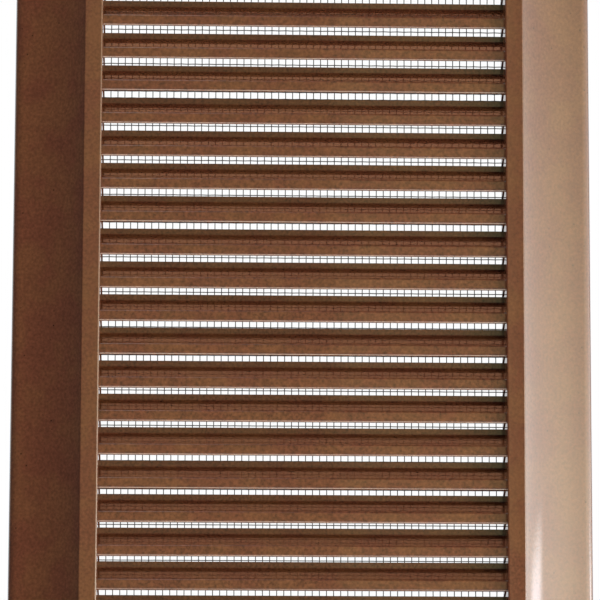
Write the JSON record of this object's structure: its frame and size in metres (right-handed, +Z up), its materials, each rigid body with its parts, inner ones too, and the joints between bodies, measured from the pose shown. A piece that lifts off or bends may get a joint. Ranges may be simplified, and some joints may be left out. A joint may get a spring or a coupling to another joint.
{
  "type": "ventilation grille",
  "caption": "Wall ventilation grille: clip-on moulded cover with fixed Z-shaped louvre blades, fine insect screen behind, and a screwed wall frame.",
  "frame": {"origin": "centre of the grille in the plane of its back, where it lies against the wall", "axes": "+Z up along the long side, +X to the right seen from the front, the front looks along -Y and the wall is behind at +Y"},
  "size_m": [0.17, 0.014, 0.24],
  "materials": {
    "cover_plastic": "glossy moulded brown plastic with a faint orange-peel surface",
    "blade_plastic": "glossy moulded brown plastic",
    "net": "dark brown plastic threads",
    "frame_plastic": "plain moulded brown plastic"
  },
  "bodies": {
    "root": {"front_cover": "cover_plastic", "louvre_blade_01": "blade_plastic", "louvre_blade_02": "blade_plastic", "louvre_blade_03": "blade_plastic", "louvre_blade_04": "blade_plastic", "louvre_blade_05": "blade_plastic", "louvre_blade_06": "blade_plastic", "louvre_blade_07": "blade_plastic", "louvre_blade_08": "blade_plastic", "louvre_blade_09": "blade_plastic", "louvre_blade_10": "blade_plastic", "louvre_blade_11": "blade_plastic", "louvre_blade_12": "blade_plastic", "louvre_blade_13": "blade_plastic", "louvre_blade_14": "blade_plastic", "louvre_blade_15": "blade_plastic", "louvre_blade_16": "blade_plastic", "louvre_blade_17": "blade_plastic", "louvre_blade_18": "blade_plastic", "louvre_blade_19": "blade_plastic", "screen_upright_threads": "net", "screen_cross_threads": "net", "screen_frame": "frame_plastic", "wall_frame": "frame_plastic"}
  },
  "joints": []
}
